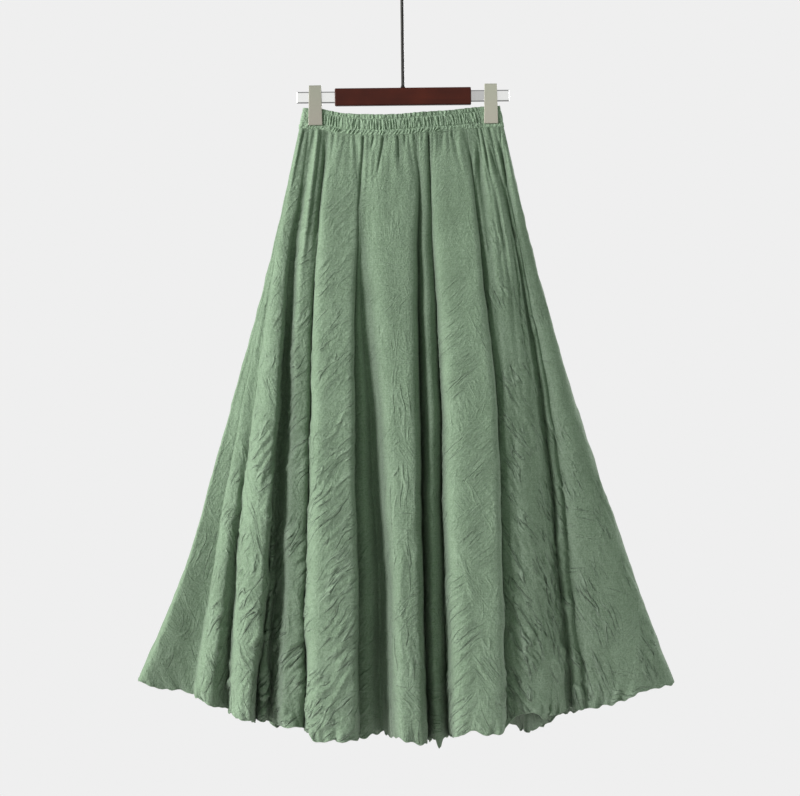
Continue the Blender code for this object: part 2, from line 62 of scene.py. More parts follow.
# One row for each crest or valley: place across (mm) at five heights, reach out from the middle
# plane (mm) at three, how narrow a valley is on its left and right side, and how flat a crest is.
foldRow = namedtuple("foldRow", "name waist hip knee calf hem outHip outKnee outHem left right flat",
                     defaults=(0, 0, 1))
frontFolds = [foldRow(*row) for row in (
    ("sideLeft", -147, -179, -247, -319, -388, 0, 0, 0),
    ("rimCrest", -146, -177, -245, -315, -379, 5, 15, 42),
    ("rimValley", -145, -175.5, -230, -271, -296, 6.5, 19, 24, 0.02, 0.3),
    ("splitCrest", -144, -174, -219, -253, -271, 10, 23, 58, 0, 0, 1.2),
    ("splitValley", -143, -173, -211, -235, -245, 11, 23, 26, 0.16, 0.32),
    ("litCrest", -139, -163, -181.5, -199, -215, 17, 57, 81, 0, 0, 1.5),
    ("wideValley", -131, -155, -175, -191, -206, 8, 18, 26, 0.38, 0.02),
    ("deepCrest", -129, -152, -174, -186, -194, 7.5, 19, 50),
    ("deepValley", -127, -149, -170, -180, -184, 7, 19, 24, 0.02),
    ("narrowCrest", -119, -135, -147, -155, -160, 20, 46, 68, 0, 0, 2.0),
    ("leftLine", -105, -119, -128, -134, -134, 11, 26, 38, 0.3, 0.34),
    ("broadLeft", -80, -92, -94, -91, -92, 30, 72, 106, 0, 0, 3.2),
    ("leftLedge", -58, -64, -67, -62, -61, 23, 46, 52, 0.38, 0.1),
    ("innerFold", -55, -61, -56, -50, -48, 25, 50, 56),
    ("leftDeep", -52, -58, -46, -31, -29, 24, 34, 34, 0.12, 0.03),
    ("centreCrest", -14, -16, -3, 5, 9, 31, 70, 104, 0, 0, 2.4),
    ("darkValley", 26, 22, 26, 30, 34, 11, 22, 32, 0.36, 0.1),
    ("shadedCrest", 33, 34, 41, 44, 48, 21, 54, 72),
    ("rightLine", 39, 46, 57, 62, 67, 12, 30, 40, 0.2, 0.34),
    ("broadRight", 70, 84, 103, 107, 110, 30, 76, 112, 0, 0, 3.0),
    ("rightTurn", 96, 109, 134, 141, 143, 15.5, 55, 84, 0.36, 0.3),
    ("slopeCrest", 112, 132, 154, 169, 178, 24, 60, 86, 0, 0, 1.2),
    ("slopeLine", 138, 163.5, 204, 226, 243, 10, 26, 36, 0.18, 0.3),
    ("thinCrest", 139, 165, 209, 233, 251, 11.5, 35, 50),
    ("thinValley", 140, 166, 214, 239, 257, 11.3, 31, 42, 0.2, 0.1),
    ("flatCrest", 142, 168, 232, 270, 302, 14, 38, 54, 0, 0, 1.2),
    ("sideRight", 148, 182, 255, 338, 397, 0, 0, 0),
)]
backFolds = [foldRow(*row) for row in (
    ("sideLeft", -147, -179, -247, -319, -388, 0, 0, 0),
    ("leftRim", -142, -168, -224, -272, -312, 13, 34, 50),
    ("leftGroove", -134, -158, -204, -236, -262, 9, 18, 26, 0.12, 0.12),
    ("leftCrest", -122, -143, -179, -203, -222, 22, 56, 82, 0, 0, 1.2),
    ("leftLine", -104, -124, -150, -166, -178, 10, 22, 32, 0.24, 0.2),
    ("leftTube", -86, -101, -121, -132, -140, 29, 70, 102, 0, 0, 1.4),
    ("leftValley", -66, -76, -88, -94, -98, 12, 24, 36, 0.08, 0.08),
    ("midLeftTube", -46, -53, -60, -62, -62, 30, 74, 110, 0, 0, 1.4),
    ("midLine", -24, -27, -28, -27, -24, 11, 24, 36, 0.22, 0.22),
    ("midSmall", -16, -17, -14, -10, -6, 20, 44, 66),
    ("midValley", -6, -5, 2, 8, 14, 11, 22, 32, 0.15, 0.15),
    ("midRightTube", 20, 24, 37, 47, 54, 31, 74, 108, 0, 0, 1.5),
    ("rightValley", 48, 56, 74, 88, 96, 12, 26, 38, 0.05, 0.05),
    ("rightTube", 70, 82, 108, 126, 137, 28, 68, 100, 0, 0, 1.4),
    ("rightLine", 92, 107, 140, 162, 176, 10, 24, 34, 0.24, 0.22),
    ("rightCrest", 108, 128, 168, 196, 215, 22, 56, 84, 0, 0, 1.2),
    ("rightGroove", 126, 151, 202, 238, 262, 9, 18, 26, 0.12, 0.12),
    ("rightRim", 139, 167, 228, 283, 324, 13, 34, 50),
    ("sideRight", 148, 182, 255, 338, 397, 0, 0, 0),
)]

# Lower edge of each panel: place across (mm), height (mm).
frontHem = ((-376, -1039), (-340, -1052), (-307, -1056), (-272, -1071), (-238, -1086), (-197, -1097),
            (-154, -1103), (-140, -1104), (-121, -1116), (-78, -1118), (-36, -1115), (-2, -1115),
            (38, -1123), (48, -1119), (53, -1133), (58, -1120), (66, -1117), (98, -1104), (141, -1106),
            (157, -1087), (200, -1087), (223, -1082), (243, -1080), (268, -1078), (303, -1068),
            (337, -1056), (386, -1046))
backHem = ((-376, -1039), (-330, -1050), (-270, -1070), (-218, -1095), (-187, -1111), (-163, -1116),
           (-140, -1113), (-100, -1115), (-50, -1113), (0, -1119), (50, -1116), (100, -1113),
           (145, -1112), (205, -1117), (222, -1105), (245, -1095), (300, -1069), (350, -1055),
           (386, -1046))


def smoothRead(places, values, at):
    # Cubic through (place, value) pairs with slopes from their neighbours, straight past both ends.
    places, values = np.array(places, float), np.array(values, float)
    slopes = np.gradient(values, places)
    inside = np.clip(at, places[0], places[-1])
    first = np.clip(np.searchsorted(places, inside, side="right") - 1, 0, len(places) - 2)
    span = places[first + 1] - places[first]
    share = (inside - places[first]) / span
    rise = share * share * (3 - 2 * share)
    value = values[first] * (1 - rise) + values[first + 1] * rise
    value += span * share * (1 - share) ** 2 * slopes[first]
    value += span * share * share * (share - 1) * slopes[first + 1]
    return value + np.where(at < inside, slopes[0], slopes[-1]) * (at - inside)


def ramp(value, low, high):
    return np.clip((value - low) / (high - low), 0, 1)


def eased(value, low, high):
    # 0 below low, 1 above high, 3t^2 - 2t^3 between.
    share = ramp(value, low, high)
    return share * share * (3 - 2 * share)


def together(*parts):
    return np.stack(np.broadcast_arrays(*parts), axis=-1)


def unit(vectors):
    return vectors / np.maximum(np.linalg.norm(vectors, axis=-1, keepdims=True), 1e-12)


def arcLength(line):
    # Length from the first point of a line to each of its points.
    return np.append(0, np.cumsum(np.linalg.norm(np.diff(line, axis=0), axis=1)))


def waves(u, v, seed):
    # Gradient noise: a slope drawn for each whole-number corner round (u, v) by mixing its bits, and
    # the four blended by 6t^5 - 15t^4 + 10t^3.
    u, v = np.broadcast_arrays(u, v)
    column, row = np.floor(u).astype(np.int64), np.floor(v).astype(np.int64)
    x, y = u - column, v - row
    easeX, easeY = (t * t * t * (t * (t * 6 - 15) + 10) for t in (x, y))
    total = 0
    for dx in (0, 1):
        for dy in (0, 1):
            mixed = (column + dx) * 374761393 + (row + dy) * 668265263 + seed * 362437 & 0xFFFFFFFF
            mixed = (mixed ^ (mixed >> 13)) * 1274126177 & 0xFFFFFFFF
            turn = (mixed ^ (mixed >> 16)) * (2 * pi / 2**32)
            weight = (easeX if dx else 1 - easeX) * (easeY if dy else 1 - easeY)
            total += weight * (np.cos(turn) * (x - dx) + np.sin(turn) * (y - dy))
    return total


def layered(u, v, seed, layers):
    # Waves of several sizes added up; a layer is its amount and its pitch along u and along v.
    return sum(amount * waves(u / pitchU, v / pitchV, seed + step)
               for step, (amount, pitchU, pitchV) in enumerate(layers))


def waistLine(across):
    # Height of the band's top edge: a tilted line less the sag between the clips.
    places, drops = zip(*waistSag)
    sag = smoothRead(places, drops, np.clip(across, places[0], places[-1]))
    return skirt["waistTopZ"] + tan(skirt["hangTilt"]) * across - sag


def waistDepth(across):
    # Half depth: the clipped depth, plus the rest of the open depth times (1 - share^2)^1.5.
    share = np.clip(np.abs(across) / (skirt["bandHalfBottom"] * skirt["flatFrom"]), 0, 1)
    return skirt["clippedDepth"] + (skirt["openDepth"] - skirt["clippedDepth"]) * (1 - share**2) ** 1.5


def foldSection(folds, before, share, height):
    # Place across and reach of every column at the given heights. Reach falls from crest to valley
    # as half a cosine wave, to a power that grows with the crest's flatness. The place runs ahead of
    # it by a sine times the valley's narrowness. Beside a seam it is a quarter of an ellipse.
    drop = -height * np.ones((1, len(before)))
    stations = skirt["stations"]
    table = np.array([fold[1:] for fold in folds], float)
    places, outKnee = table[:, :5] * mm, table[:, 6]
    left, right, flat = table[:, 8:].T
    atWaist = waistDepth(places[:, 0])
    atWaist[[0, -1]] = 0
    reaches = np.column_stack((atWaist, table[:, 5:8] * mm))
    below = np.maximum(drop, stations[0])
    across = np.array([smoothRead(stations, row, drop) for row in places])
    reach = np.array([smoothRead(stations[[0, 1, 2, 4]], row, below) for row in reaches])
    column = np.arange(len(before))
    acrossFrom, acrossTo = across[before, :, column].T, across[before + 1, :, column].T
    reachFrom, reachTo = reach[before, :, column].T, reach[before + 1, :, column].T

    falling = outKnee[before + 1] < outKnee[before]
    narrow = np.where(falling, left[before + 1], right[before])
    narrow = narrow * eased(drop, stations[0] - 0.005, stations[0] + skirt["narrowOver"])
    placeShare = share + np.where(falling, 1, -1) * narrow * np.sin(pi * share)
    power = 1 + np.where(falling, skirt["flatRight"] * (flat[before] - 1),
                         skirt["flatLeft"] * (flat[before + 1] - 1))
    fallen = ((1 - np.cos(pi * np.where(falling, share, 1 - share))) / 2) ** power
    reachShare = np.where(falling, fallen, 1 - fallen)
    quick, slow = np.sin(pi / 2 * share), 1 - np.cos(pi / 2 * share)
    atLeft, atRight = before == 0, before == len(folds) - 2
    placeShare = np.where(atLeft, slow, np.where(atRight, quick, placeShare))
    reachShare = np.where(atLeft, quick, np.where(atRight, slow, reachShare))
    across = acrossFrom + (acrossTo - acrossFrom) * placeShare
    return across, reachFrom + (reachTo - reachFrom) * reachShare


def columnPlan(folds, count):
    # Columns at equal steps of arc length along the section at the calf, as (fold before, share).
    fine = 60
    before = np.append(np.repeat(np.arange(len(folds) - 1), fine), len(folds) - 2)
    share = np.append(np.tile(np.arange(fine) / fine, len(folds) - 1), 1.0)
    across, reach = foldSection(folds, before, share, -skirt["stations"][3])
    length = arcLength(together(across[0], reach[0]))
    at = np.interp(np.linspace(0, length[-1], count), length, before + share)
    index = np.minimum(np.floor(at + 1e-9).astype(int), len(folds) - 2)
    return index, np.clip(at - index, 0, 1)


def fadeAtSides(columns, width):
    # 0 on both side seams, 1 past that share of the columns.
    column = np.arange(columns)
    return eased(np.minimum(column, columns - 1 - column) / columns, 0, width)


def panelSurface(folds, hem, side, columns, rows, look):
    # Middle surface of a panel, rows by columns: fold sections at even heights from the band to the
    # hem's line, with waves, gathers and pleats added to their reach. Along and down are its metres
    # along the row from the middle column, and down from the band.
    seed = look["seed"]
    before, share = columnPlan(folds, columns)
    waistAcross = foldSection(folds, before, share, -skirt["stations"][0])[0]
    top = waistLine(waistAcross) - skirt["bandHeight"]
    hemPlaces, hemHeights = np.array(hem).T * mm
    bottom = -skirt["stations"][4]
    for _ in range(3):
        bottom = smoothRead(hemPlaces, hemHeights, foldSection(folds, before, share, bottom)[0])
    start = top + skirt["tuckUp"]
    height = start + np.linspace(0, 1, rows)[:, None] * (bottom - start)
    across, reach = foldSection(folds, before, share, height)
    along = np.cumsum(np.hypot(np.gradient(across, axis=1), np.gradient(reach, axis=1)), axis=1)
    along = along - along[:, columns // 2][:, None]
    down = top - height
    toHem = height - bottom

    fade = fadeAtSides(columns, 0.02)
    # both panels share the seams' unevenness, which depends on the height alone
    sideWave = waves(height / 0.034, 0.5, 31) + 0.5 * waves(height / 0.013, 1.5, 32)
    across += (1 - fade) * skirt["sideWave"] * sideWave * eased(down, 0.02, 0.1)
    wander = look["wander"] * layered(across, height, seed, look["wanderSizes"])
    across += fade * eased(down, 0.02, 0.15) * wander
    softWave = look["softWave"] * layered(along, height, seed + 2, look["softSizes"])
    reach += fade * eased(down, 0.02, 0.25) * softWave

    # gathers: uneven waves that die away below the band
    gatherAt = waistAcross / look["gatherPitch"]
    bunch = waves(gatherAt, down / 0.05, seed + 4)
    bunch += 0.5 * waves(gatherAt * 0.45 + 9, down / 0.12, seed + 5)
    below = np.maximum(down, 0)
    lasting = np.exp(-below / look["gatherFade"]) * 0.75 + np.exp(-below / 0.12) * 0.25
    bunch *= lasting * eased(down, -0.003, 0.006)
    # on the right they run on as long fine folds
    fine = look["longDepth"] * waves(waistAcross / look["longPitch"], down / 0.16, seed + 16)
    fine *= eased(waistAcross, look["longFrom"], look["longFrom"] + 0.025)
    fine *= eased(down, 0.01, 0.05) * np.exp(-below / 0.45)
    reach += fade**2 * look["gatherDepth"] * (bunch + fine)
    for acrossTop, acrossLow, downLow, depth, width in look["pleats"]:
        middle = mm * (acrossTop + (acrossLow - acrossTop) * np.clip(down / downLow, 0, 1))
        strength = eased(down, -0.002, 0.004) * (1 - eased(down / downLow, 0.55, 1.15))
        reach -= depth * mm * strength * np.exp(-((across - middle) / (width * mm)) ** 2)

    # the hem's lettuce edge: it ripples in and out and up and down
    nearHem = fade * np.exp(-np.maximum(toHem, 0) / look["hemFade"])
    nearHem *= (0.4 + 0.85 * eased(waves(along / 0.06, 2.0, seed + 15), -0.2, 0.3))
    ripple = waves(along / look["hemWave"], 0.0, seed + 6)
    ripple += 0.7 * waves(along / (look["hemWave"] * 0.4), 0.5, seed + 7)
    lift = waves(along / 0.019 + 0.5, 3.0, seed + 8) + 0.45 * waves(along / 0.0095, 1.5, seed + 9)
    height = height + look["hemLift"] * lift * nearHem
    reach = np.maximum(reach + look["hemDepth"] * ripple * nearHem, fade * skirt["clothThick"] / 2)
    surface = together(across, side * (reach + skirt["seamGap"] / 2), height)
    return surface, along, down, toHem, before + share


def outward(surface, side):
    # Unit normals, crosswise to both directions of the grid, level at the top and square to the side
    # seams.
    normal = np.cross(np.gradient(surface, axis=1), np.gradient(surface, axis=0))
    normal = normal * np.sign((normal[..., 1] * side).mean())
    normal[0, :, 2] = 0
    normal[:, 0, 1] = 0
    normal[:, -1, 1] = 0
    return unit(normal)


# How the creases lie at a line of the fold table: the amounts of four lies (level, rising to the
# right, upright, falling to the right), and of all of them.
creaseAngles = (-14, 36, 86, 120)
frontCrinkle = (
    ("sideLeft", 0.1, 0.6, 0.4, 0.3, 0.6),
    ("rimValley", 0.1, 0.7, 0.5, 0.2, 0.8),
    ("splitCrest", 0.1, 0.9, 0.6, 0.3, 1.3),
    ("litCrest", 0.1, 0.9, 0.6, 0.4, 1.8),
    ("narrowCrest", 0.1, 1.0, 0.3, 0.1, 1.6),
    ("broadLeft", 0.05, 1.1, 0.1, 0.1, 1.2),
    ("leftLedge", 0.2, 0.6, 0.2, 0.3, 0.8),
    ("centreCrest", 0.45, 0.45, 0.7, 0.35, 1.35),
    ("shadedCrest", 0.4, 0.2, 0.5, 0.4, 1.1),
    ("rightLine", 0.1, 1.0, 0.1, 0.2, 1.0),
    ("broadRight", 0.1, 0.75, 0.4, 0.6, 0.85),
    ("rightTurn", 0.05, 0.1, 0.2, 1.1, 0.9),
    ("slopeCrest", 0.05, 0.1, 0.2, 1.1, 1.5),
    ("flatCrest", 0.5, 0.1, 0.2, 0.8, 1.4),
    ("sideRight", 0.4, 0.4, 0.3, 0.6, 1.4),
)
backCrinkle = (
    ("sideLeft", 0.4, 0.5, 0.2, 0.4, 1.0),
    ("leftTube", 0.1, 0.9, 0.2, 0.2, 1.0),
    ("midSmall", 0.4, 0.3, 0.8, 0.3, 1.0),
    ("rightTube", 0.1, 0.3, 0.2, 0.9, 1.0),
    ("sideRight", 0.5, 0.4, 0.2, 0.5, 1.0),
)


def creaseWeights(folds, table, place):
    # The table's amounts, read straight between its rows at each column's place among the folds.
    names = [fold.name for fold in folds]
    lines, *amounts = zip(*table)
    return [np.interp(place, [names.index(line) for line in lines], amount) for amount in amounts]


def ridges(along, down, angle, long, wide, seed):
    # Sharp creases lying one way: 1 - |noise| of coordinates drawn out along the lie, to a power.
    turn = radians(angle)
    u = along * cos(turn) - down * sin(turn)
    v = along * sin(turn) + down * cos(turn)
    v = v / wide + 1.5 * waves(along / 0.07, down / 0.07, seed + 50)
    rise = np.minimum(np.abs(waves(u / long, v, seed)) * 3.2, 1)
    return (1 - rise) ** 1.3


def creaseLies(along, down, weights, seed):
    # How much of each lie shows: its share of the table, where its own slow noise is the highest.
    score = np.array([weight * (0.28 + 1.2 * waves(along / 0.05, down / 0.07, seed + 60 * number))
                      for number, weight in enumerate(weights)])
    leads = [own - np.delete(score, number, axis=0).max(axis=0) for number, own in enumerate(score)]
    return [weight * (0.12 + eased(lead, -0.14, 0.3)) for weight, lead in zip(weights, leads)]


def crumple(along, down, amounts, seed, sizes):
    # Creases of all four lies added up, with sizes as the look's tables give them.
    total = 0
    for number, (angle, amount) in enumerate(zip(creaseAngles, amounts)):
        for step, (long, wide, share) in enumerate(sizes):
            lie = ridges(along, down, angle + 11 * step, long, wide, seed + 60 * number + step)
            total += amount * share * lie
    return total


def quads(index):
    # Four-sided faces between neighbouring points of a grid of point numbers.
    corners = (index[:-1, :-1], index[1:, :-1], index[1:, 1:], index[:-1, 1:])
    return np.stack([corner.ravel() for corner in corners], axis=1)


def placed(name, data):
    made = bpy.data.objects.new(name, data)
    scene.collection.objects.link(made)
    return made


def makeMesh(name, points, faceGroups, material, lies, pointUv):
    # One mesh from its points and groups of faces, each group an array with a face in each row.
    sizes = np.hstack([np.full(len(group), group.shape[1]) for group in faceGroups])
    corners = np.hstack([group.ravel() for group in faceGroups]).astype(np.int32)
    mesh = bpy.data.meshes.new(name)
    mesh.vertices.add(len(points))
    mesh.vertices.foreach_set("co", np.asarray(points, np.float32).ravel())
    mesh.loops.add(len(corners))
    mesh.loops.foreach_set("vertex_index", corners)
    mesh.polygons.add(len(sizes))
    mesh.polygons.foreach_set("loop_start", (np.cumsum(sizes) - sizes).astype(np.int32))
    mesh.update(calc_edges=True)
    mesh.validate()
    layer = mesh.uv_layers.new(name="cloth")
    layer.data.foreach_set("uv", np.asarray(pointUv, np.float32)[corners].ravel())
    lie = mesh.attributes.new("lie", "FLOAT_COLOR", "POINT")
    lie.data.foreach_set("color", np.asarray(lies, np.float32).ravel())
    mesh.shade_smooth()
    mesh.materials.append(material)
    return placed(name, mesh)


def loft(name, grid, material, uv=None, ring=False, lie=(0, 0, 0, 0)):
    # Sections in rows, each closed round. A ring's last section meets its first; otherwise both ends
    # are capped. The sign of the volume turns the faces outwards.
    rows, around = grid.shape[:2]
    points = grid.reshape(-1, 3)
    index = np.arange(rows * around).reshape(rows, around)
    wrapped = np.hstack((index, index[:, :1]))
    faces = quads(np.vstack((wrapped, wrapped[:1])) if ring else wrapped)
    a, b, c, d = (points - points.mean(axis=0))[faces.T]
    groups = [faces] if ring else [faces, index[:1], index[-1:, ::-1]]
    if (a * np.cross(b, c)).sum() + (a * np.cross(c, d)).sum() < 0:
        groups = [group[:, ::-1] for group in groups]
    if uv is None:
        roundStep = np.linalg.norm(np.diff(grid, axis=1, prepend=grid[:, -1:]), axis=2).mean(axis=0)
        uv = together(arcLength(grid.mean(axis=1))[:, None], np.cumsum(roundStep))
    lies = np.broadcast_to(lie, (len(points), 4))
    return makeMesh(name, points, groups, material, lies, uv.reshape(-1, 2))


def tubeMesh(name, path, radius, sides, material):
    # A round section carried along a path: path + radius * (aside * cos turn + over * sin turn), where
    # aside is square to the run and to the y axis.
    run = unit(np.gradient(path, axis=0))
    aside = unit(np.cross(run, (0.0, 1.0, 0.0)))
    over = np.cross(aside, run)
    turn = (np.arange(sides) * 2 * pi / sides)[:, None]
    ring = aside[:, None] * np.cos(turn) + over[:, None] * np.sin(turn)
    return loft(name, path[:, None] + np.reshape(radius, (-1, 1, 1)) * ring, material)


def rimFaces(fine, coarse, keep, turned):
    # Between a fine row of point numbers and the coarse one that keeps some of its places: a face for
    # each coarse step.
    found = []
    for size in sorted(set(np.diff(keep))):
        which = np.nonzero(np.diff(keep) == size)[0]
        fineRun = fine[keep[which][:, None] + np.arange(size + 1)[None, :]]
        face = np.hstack((fineRun, coarse[which + 1][:, None], coarse[which][:, None]))
        found.append(face[:, ::-1] if turned else face)
    return found


def shellPiece(name, surface, normal, relief, along, down, lie):
    # A closed thin shell: a fine outer skin with the relief, an inner skin with every second column
    # and every fourth row, and a rim of many-sided faces.
    rows, columns = surface.shape[:2]
    half = skirt["clothThick"] / 2
    outer = surface + normal * (half + relief)[..., None]
    keepRows = np.append(np.arange(0, rows - 1, 4), rows - 1)
    keepColumns = np.append(np.arange(0, columns - 1, 2), columns - 1)
    kept = np.ix_(keepRows, keepColumns)
    inner = (surface - normal * half)[kept]
    fine = np.arange(rows * columns).reshape(rows, columns)
    coarse = fine.size + np.arange(inner[..., 0].size).reshape(inner.shape[:2])
    points = np.vstack((outer.reshape(-1, 3), inner.reshape(-1, 3)))
    groups = [quads(fine), quads(coarse)[:, ::-1]]
    for a, b, keep, turned in ((fine, coarse, keepColumns, False), (fine.T, coarse.T, keepRows, True)):
        groups += rimFaces(a[0], b[0], keep, turned) + rimFaces(a[-1], b[-1], keep, not turned)
    # does the grid's own order face outwards?
    first, second, _, fourth = points[groups[0].T]
    if (np.cross(second - first, fourth - first) * normal[:-1, :-1].reshape(-1, 3)).sum() < 0:
        groups = [group[:, ::-1] for group in groups]
    uv, lie = (np.vstack((values.reshape(rows * columns, -1),
                          values[kept].reshape(coarse.size, -1)))
               for values in (together(along, -down), lie))
    return makeMesh(name, points, groups, cloth, lie, uv)


def nodeMaker(tree):
    # feed gives a node's inputs, by name or as i0, i1, a value or another node's output. add puts in
    # one node and returns its outputs.
    def feed(node, inputs):
        for key, value in inputs.items():
            socket = node.inputs[int(key[1:]) if key[1:].isdigit() else key]
            if isinstance(value, bpy.types.NodeSocket):
                tree.links.new(value, socket)
            else:
                socket.default_value = value

    def add(kind, settings=None, **inputs):
        node = tree.nodes.new("ShaderNode" + kind)
        for key, value in (settings or {}).items():
            setattr(node, key, value)
        feed(node, inputs)
        return node.outputs

    return add, feed


def newMaterial(name, roughness, metallic=0.0):
    # Gives add, and finish, which sets a colour, bumps as (height, strength, distance), each laid on
    # the last, and other inputs.
    material = bpy.data.materials.new(name)
    material.use_nodes = True
    add, feed = nodeMaker(material.node_tree)

    def finish(colour, bumps=(), others=None):
        inputs = {"Roughness": roughness, "Metallic": metallic, "Base Color": colour, **(others or {})}
        for height, strength, distance in bumps:
            below = {key: inputs[key] for key in inputs if key == "Normal"}
            inputs["Normal"] = add("Bump", Height=height, Strength=strength, Distance=distance,
                                   **below)[0]
        feed(material.node_tree.nodes["Principled BSDF"], inputs)
        return material

    return add, finish


def maths(add, operation, *values):
    return add("Math", {"operation": operation}, **{f"i{n}": v for n, v in enumerate(values)})[0]


def between(add, value, fromLow, fromHigh, low=0.0, high=1.0, way="SMOOTHSTEP"):
    # low up to fromLow, high past fromHigh, eased between unless the way is LINEAR.
    return add("MapRange", {"interpolation_type": way}, i0=value, i1=fromLow, i2=fromHigh,
               i3=low, i4=high)[0]


def flatNoise(add, at, scale=1.0, detail=2.0, roughness=0.5):
    return add("TexNoise", {"noise_dimensions": "2D"}, Vector=at, Scale=scale, Detail=detail,
               Roughness=roughness)


def objectNoise(add, stretch=(1, 1, 1), scale=1.0, detail=2.0, **more):
    # Solid noise of the object's own coordinates, finer along an axis with a larger stretch.
    at = add("Mapping", Vector=add("TexCoord")["Object"], Scale=stretch)[0]
    return add("TexNoise", Vector=at, Scale=scale, Detail=detail, **more)[0]


def drawnOut(add, at, long, wide, angle=0, number=0):
    # Coordinates turned and drawn out along a lie. Each number starts at a place of its own.
    return add("Mapping", {"vector_type": "TEXTURE"}, Vector=at, Scale=(long, wide, 1),
               Rotation=(0, 0, radians(angle)), Location=(0.31 * number, 0.17 * number, 0))[0]


def twoColours(add, share, first, second, paler=1.0):
    first, second = ((*(paler * part for part in colour), 1) for colour in (first, second))
    return add("Mix", {"data_type": "RGBA"}, i0=share, i6=first, i7=second)[2]


clothLook = {
    "light": (0.307, 0.386, 0.299), "dark": (0.208, 0.274, 0.199),
    "bandPalerAndLit": 1.25,        # partly the band's own paler look, stretched by its elastic, partly painted light over the shade of its puckers
    "roughness": 0.88,
    "bend": 0.014,            # how far the creases are drawn aside
    # length and width (m) of the fine creases and of the small crinkle that lies everywhere
    "crease": (0.075, 0.0115), "creaseHeight": 0.002,
    "creaseLine": 0.075,      # how wide a crease's line is, of its noise
    "grain": (0.0075, 0.003), "grainHeight": 0.0027,
    "threads": ((0.0011, 0.022), (0.026, 0.0012)), "threadHeight": 0.0006,   # across and up
    # how far streaks, patches, small crinkle, specks and creases turn the colour from dark to light;
    # the small crinkle's share is its shading painted in, the creases' share a painted highlight
    "tone": (0.9, 0.7, 1.6, 2.0, 0.42), "toneStart": -2.64,
}
def clothMaterial(name, paler=1.0):
    # Plain-woven crinkled cotton, on a map bent by slow noise. A crease is a thin line where drawn-out
    # noise crosses its middle, 1 - smoothstep(|noise - 1/2|), broken off by a second noise; one set
    # for each lie, times the piece's own map of lies. Then small crinkle everywhere and streaks along
    # both threads. Colour: dark to light by their sum, with patches and specks; in it the creases are a
    # painted highlight along their lines, and the small crinkle is its own light and shade painted in.
    add, finish = newMaterial(name, clothLook["roughness"])
    uv = add("UVMap", {"uv_map": "cloth"})[0]
    lieMap = add("Attribute", {"attribute_name": "lie"})
    amounts = (*add("SeparateColor", Color=lieMap["Color"])[:3], lieMap["Alpha"])
    bend = (clothLook["bend"], clothLook["bend"], 0)
    bent = add("VectorMath", {"operation": "MULTIPLY_ADD"}, i1=bend, i2=uv,
               i0=flatNoise(add, uv, 15.0, 1.0)["Color"])[0]
    creases = 0.0
    for number, angle in enumerate(creaseAngles):
        turned = drawnOut(add, bent, *clothLook["crease"], angle + 6, number)
        noise = flatNoise(add, turned, detail=1.0)
        broken = between(add, add("SeparateColor", Color=noise["Color"])[1], 0.4, 0.54)
        away = maths(add, "ABSOLUTE", maths(add, "SUBTRACT", noise[0], 0.5))
        line = between(add, away, 0.0, clothLook["creaseLine"], 1.0, 0.0)
        line = maths(add, "MULTIPLY", line, broken)
        creases = maths(add, "MULTIPLY_ADD", line, amounts[number], creases)
    grains = [flatNoise(add, drawnOut(add, bent, *clothLook["grain"], creaseAngles[number] + 6),
                        1.0, 4.0, 0.7)[0] for number in (1, 3)]
    lean = maths(add, "SUBTRACT", amounts[3], amounts[1])
    lean = maths(add, "MULTIPLY_ADD", lean, 1.2, 0.35)
    grain = add("Mix", {"data_type": "FLOAT"}, i0=lean, i2=grains[0], i3=grains[1])[0]
    streaks = [flatNoise(add, drawnOut(add, uv, *sizes), roughness=0.6)[0]
               for sizes in clothLook["threads"]]
    slub = maths(add, "ADD", *streaks)
    patch = flatNoise(add, uv, 11.0, 3.0, 0.6)[0]
    speck = flatNoise(add, uv, 430.0, 2.0, 0.7)[0]
    tone = clothLook["toneStart"]
    # painted light: the creases' share lightens their lines as a painted highlight, and the small
    # crinkle's share paints its light and shade
    for part, amount in zip((slub, patch, grain, speck, creases), clothLook["tone"]):
        tone = maths(add, "MULTIPLY_ADD", part, amount, tone)
    colour = twoColours(add, tone, clothLook["dark"], clothLook["light"], paler)
    bumps = ((creases, 1.0, clothLook["creaseHeight"]), (grain, 1.0, clothLook["grainHeight"]),
             (slub, 0.7, clothLook["threadHeight"]))
    return finish(colour, bumps, {"Sheen Weight": 0.15, "Sheen Roughness": 0.45,
                                  "Specular IOR Level": 0.12})


cloth = clothMaterial("sageCrinkleCloth")
# the band's copy is paler, partly as painted light over the shade of its puckers
bandCloth = clothMaterial("sageBandCloth", clothLook["bandPalerAndLit"])

# Pleats from the band down: place across at the band and at their end (mm), how far they run down
# (m), depth (mm; less than 0 stands out), width (mm).
frontPleats = (
    (-53.5, -60, 0.1, 4.05, 2.2), (-39, -43, 0.022, 2.43, 2.0), (-25, -35, 0.06, 2.97, 2.0),
    (-19, -19, 0.01, 1.62, 1.6), (-5.5, -3.5, 0.048, 3.24, 1.8), (5, 5, 0.02, 2.16, 1.8),
    (18, 18, 0.012, 1.89, 1.8), (38.5, 42, 0.11, 4.59, 2.0), (72, 72, 0.012, 1.62, 1.8),
    (-105, -127, 0.2, 4.32, 2.8), (-118, -141, 0.2, -4.05, 2.8), (-141, -161.5, 0.1, -3.24, 2.2),
    (108, 128, 0.1, 2.43, 1.7), (113.5, 125, 0.055, 2.16, 1.5), (125, 130, 0.02, 1.89, 1.5),
    (140, 151, 0.1, 2.43, 1.6),
)
backPleats = (
    (-110, -124, 0.09, 3.24, 3.0), (-78, -86, 0.055, 2.97, 2.0), (-50, -54, 0.1, 3.78, 2.2),
    (-20, -24, 0.06, 3.24, 2.0), (12, 13, 0.04, 2.7, 1.8), (44, 50, 0.1, 4.05, 2.2),
    (78, 88, 0.05, 2.7, 2.0), (112, 126, 0.09, 2.97, 2.6),
)
